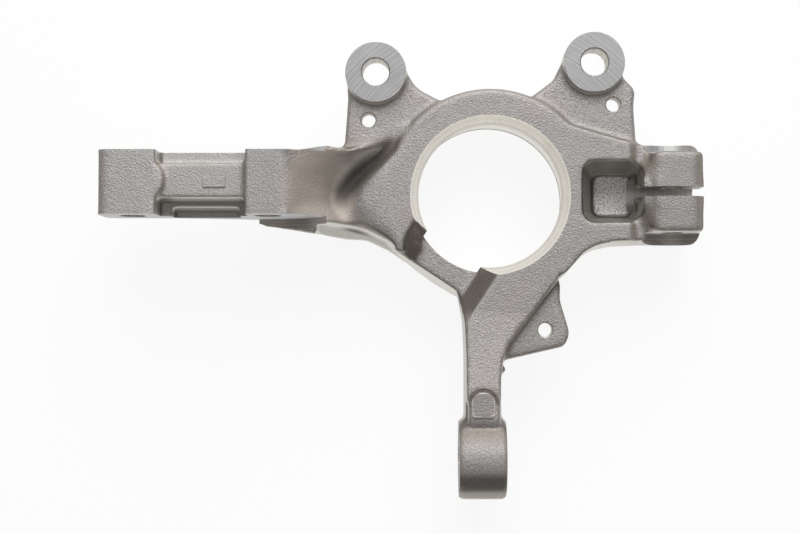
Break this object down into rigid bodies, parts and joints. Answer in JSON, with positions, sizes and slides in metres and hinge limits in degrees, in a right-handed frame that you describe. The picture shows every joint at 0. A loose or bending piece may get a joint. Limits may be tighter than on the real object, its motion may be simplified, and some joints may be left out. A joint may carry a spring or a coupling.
{
  "type": "steering knuckle",
  "caption": "Cast steering knuckle with a hub ring, two caliper lugs, a two-bolt strut arm, a steering arm with a tapered eye and a split clamp for the ball joint.",
  "frame": {"origin": "on the wheel bearing's axis, in the outboard face of the hub ring", "axes": "+Z inboard along the bearing's axis, +X down to the ball joint, -X up to the strut, -Y to the tie rod"},
  "size_m": [0.2772, 0.216, 0.0624],
  "materials": {
    "cast_iron": "shot-blasted casting with bright machined seats"
  },
  "bodies": {
    "root": {"steering_knuckle": "cast_iron"}
  },
  "joints": []
}
